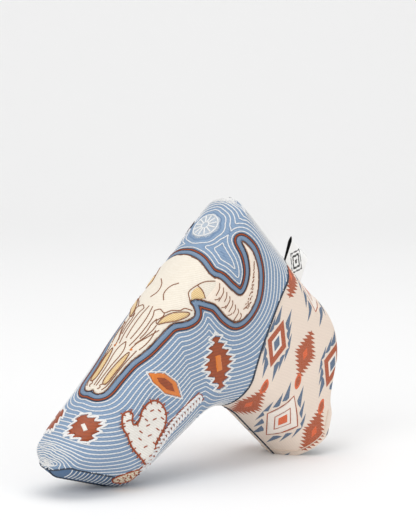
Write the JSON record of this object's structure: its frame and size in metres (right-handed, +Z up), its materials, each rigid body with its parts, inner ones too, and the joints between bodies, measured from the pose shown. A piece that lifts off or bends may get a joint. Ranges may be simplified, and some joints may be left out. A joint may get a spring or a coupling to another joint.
{
  "type": "putter head cover",
  "caption": "Padded L-shaped sleeve for a blade putter head, embroidered on the blade pocket, with a printed neck and a folding closure flap.",
  "frame": {"origin": "bottom centre of the bounding box, on the surface the cover stands on", "axes": "+X from the toe end to the neck end, +Y from the front face to the back face where the flap closes, +Z up"},
  "size_m": [0.1904, 0.051, 0.1409],
  "materials": {
    "embroidered_twill": "slate-blue cotton twill with pale contour stitching, matt",
    "printed_canvas": "beige woven canvas with a printed pattern, matt",
    "foam_padding": "soft open-cell foam, matt",
    "plush_lining": "black short-pile plush",
    "binding_tape": "woven edge, topstitched, matt",
    "seam_thread": "polyester sewing thread, slight sheen",
    "cream_embroidery": "rayon satin stitch, soft sheen",
    "rust_embroidery": "rayon satin stitch, soft sheen",
    "rope_embroidery": "rayon satin stitch, soft sheen",
    "woven_label": "damask-woven ribbon, slight sheen",
    "hook_tape": "nylon hook tape, matt",
    "loop_tape": "nylon loop tape, matt"
  },
  "bodies": {
    "cover": {"blade_padding": "foam_padding", "blade_panel": "embroidered_twill", "cactus_back": "cream_embroidery", "cactus_front": "cream_embroidery", "diamond_back": "rust_embroidery", "diamond_front": "rust_embroidery", "heel_seam": "seam_thread", "horn_back": "cream_embroidery", "horn_front": "cream_embroidery", "join_seam": "seam_thread", "lining_back": "plush_lining", "lining_front": "plush_lining", "loop_patch": "loop_tape", "mouth_binding_back": "binding_tape", "mouth_binding_front": "binding_tape", "neck_back_padding": "foam_padding", "neck_back_panel": "printed_canvas", "neck_front_padding": "foam_padding", "neck_front_panel": "printed_canvas", "neck_seam": "seam_thread", "rhombus_back": "rust_embroidery", "rhombus_front": "rust_embroidery", "rope_back": "rope_embroidery", "rope_front": "rope_embroidery", "skull_applique": "cream_embroidery", "toe_seam": "seam_thread", "underside_seam": "seam_thread", "woven_label": "woven_label"},
    "closure_flap": {"flap_panel": "printed_canvas", "flap_padding": "foam_padding", "flap_lining": "plush_lining", "flap_binding": "binding_tape", "hook_patch": "hook_tape"}
  },
  "joints": [
    {"name": "flap_fold", "type": "hinge", "parent": "cover", "child": "closure_flap", "pos_m": [0.08378, -0.02475, 0.05538], "axis": [0, 0, -1], "range_deg": [0, 120]}
  ]
}
